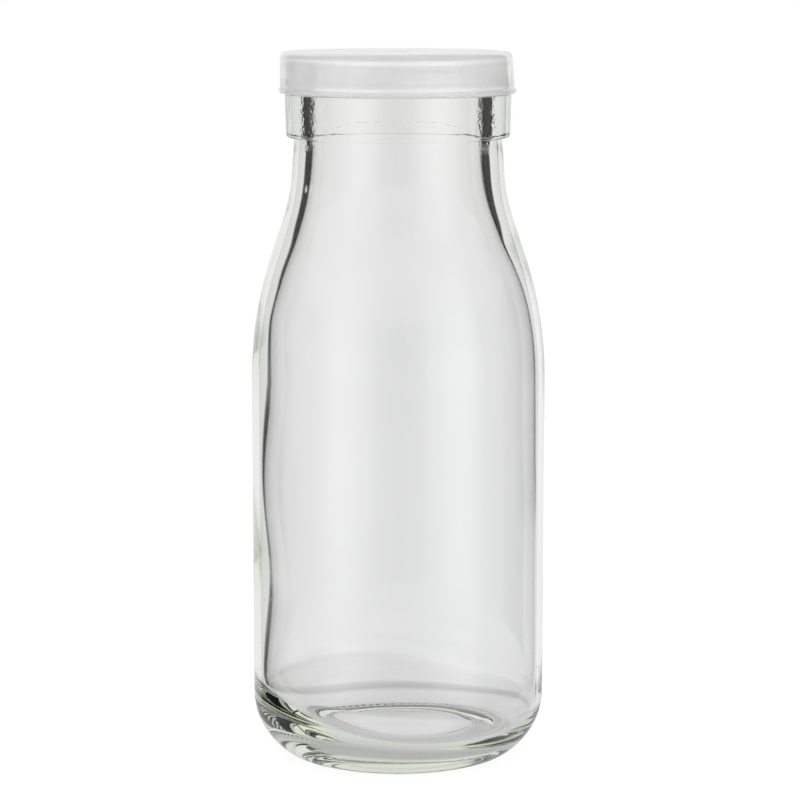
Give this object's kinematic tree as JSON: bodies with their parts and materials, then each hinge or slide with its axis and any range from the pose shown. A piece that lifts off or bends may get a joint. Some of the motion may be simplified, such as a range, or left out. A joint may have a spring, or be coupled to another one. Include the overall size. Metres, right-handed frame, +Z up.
{
  "type": "glass bottle with push-on lid",
  "caption": "Small clear glass milk bottle with a straight body, long shoulder, heavy collar below the mouth and a translucent push-on plastic lid.",
  "frame": {"origin": "centre of the standing ring's face, on the bottle's axis", "axes": "+Z up the bottle's axis towards the lid; the bottle is round, so X and Y are level and free"},
  "size_m": [0.0584, 0.0584, 0.14],
  "materials": {
    "clear_glass": "clear, faintly green where it is thick",
    "soft_plastic": "translucent, satin"
  },
  "bodies": {
    "root": {"bottle": "clear_glass", "lid": "soft_plastic"}
  },
  "joints": []
}
